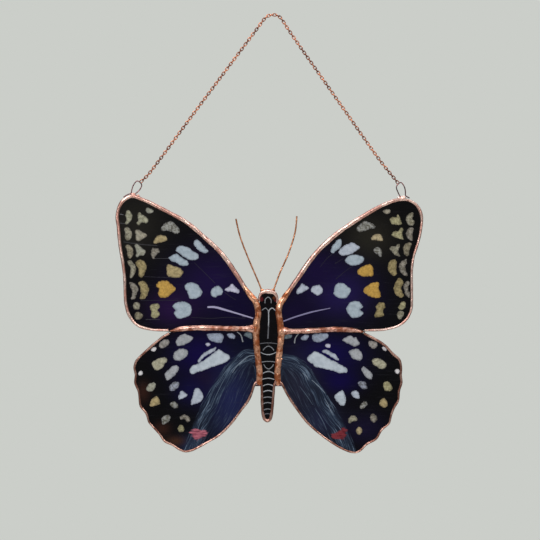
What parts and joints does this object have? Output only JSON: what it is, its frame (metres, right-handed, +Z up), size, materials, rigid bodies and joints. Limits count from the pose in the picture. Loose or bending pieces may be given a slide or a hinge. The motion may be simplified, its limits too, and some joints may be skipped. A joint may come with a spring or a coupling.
{
  "type": "glass butterfly suncatcher",
  "caption": "Hanging butterfly of painted glass panes with copper-soldered edges, wire antennae, hanging loops and a fine chain.",
  "frame": {"origin": "the point where the bend of the chain rests on its nail, on the mid-plane of the glass", "axes": "+Z up, +X to the right as one looks at the painted front, front towards -Y"},
  "size_m": [0.2, 0.0066, 0.2862],
  "materials": {
    "painted_glass": "glossy, black and violet with white, gold and olive spots",
    "black_glass": "glossy black with fine painted lines",
    "copper_edging": "copper foil and copper-coated solder, satin to bright",
    "copper_solder": "copper-coated solder bead, lumpy and bright",
    "copper_wire": "bent copper wire, satin, darkened",
    "chain_copper": "copper-plated cable chain, bright"
  },
  "bodies": {
    "root": {"forewing_glass_left": "painted_glass", "forewing_glass_right": "painted_glass", "hindwing_glass_left": "painted_glass", "hindwing_glass_right": "painted_glass", "body_glass": "black_glass", "forewing_edging_left": "copper_edging", "forewing_edging_right": "copper_edging", "hindwing_edging_left": "copper_edging", "hindwing_edging_right": "copper_edging", "head_edging": "copper_edging", "abdomen_edging": "copper_edging", "wing_seam_left": "copper_solder", "wing_seam_right": "copper_solder", "body_seam_left": "copper_solder", "body_seam_right": "copper_solder", "antenna_left": "copper_wire", "antenna_right": "copper_wire", "hanging_loop_left": "copper_wire", "hanging_loop_right": "copper_wire", "brace_wire": "copper_wire", "chain": "chain_copper"}
  },
  "joints": []
}
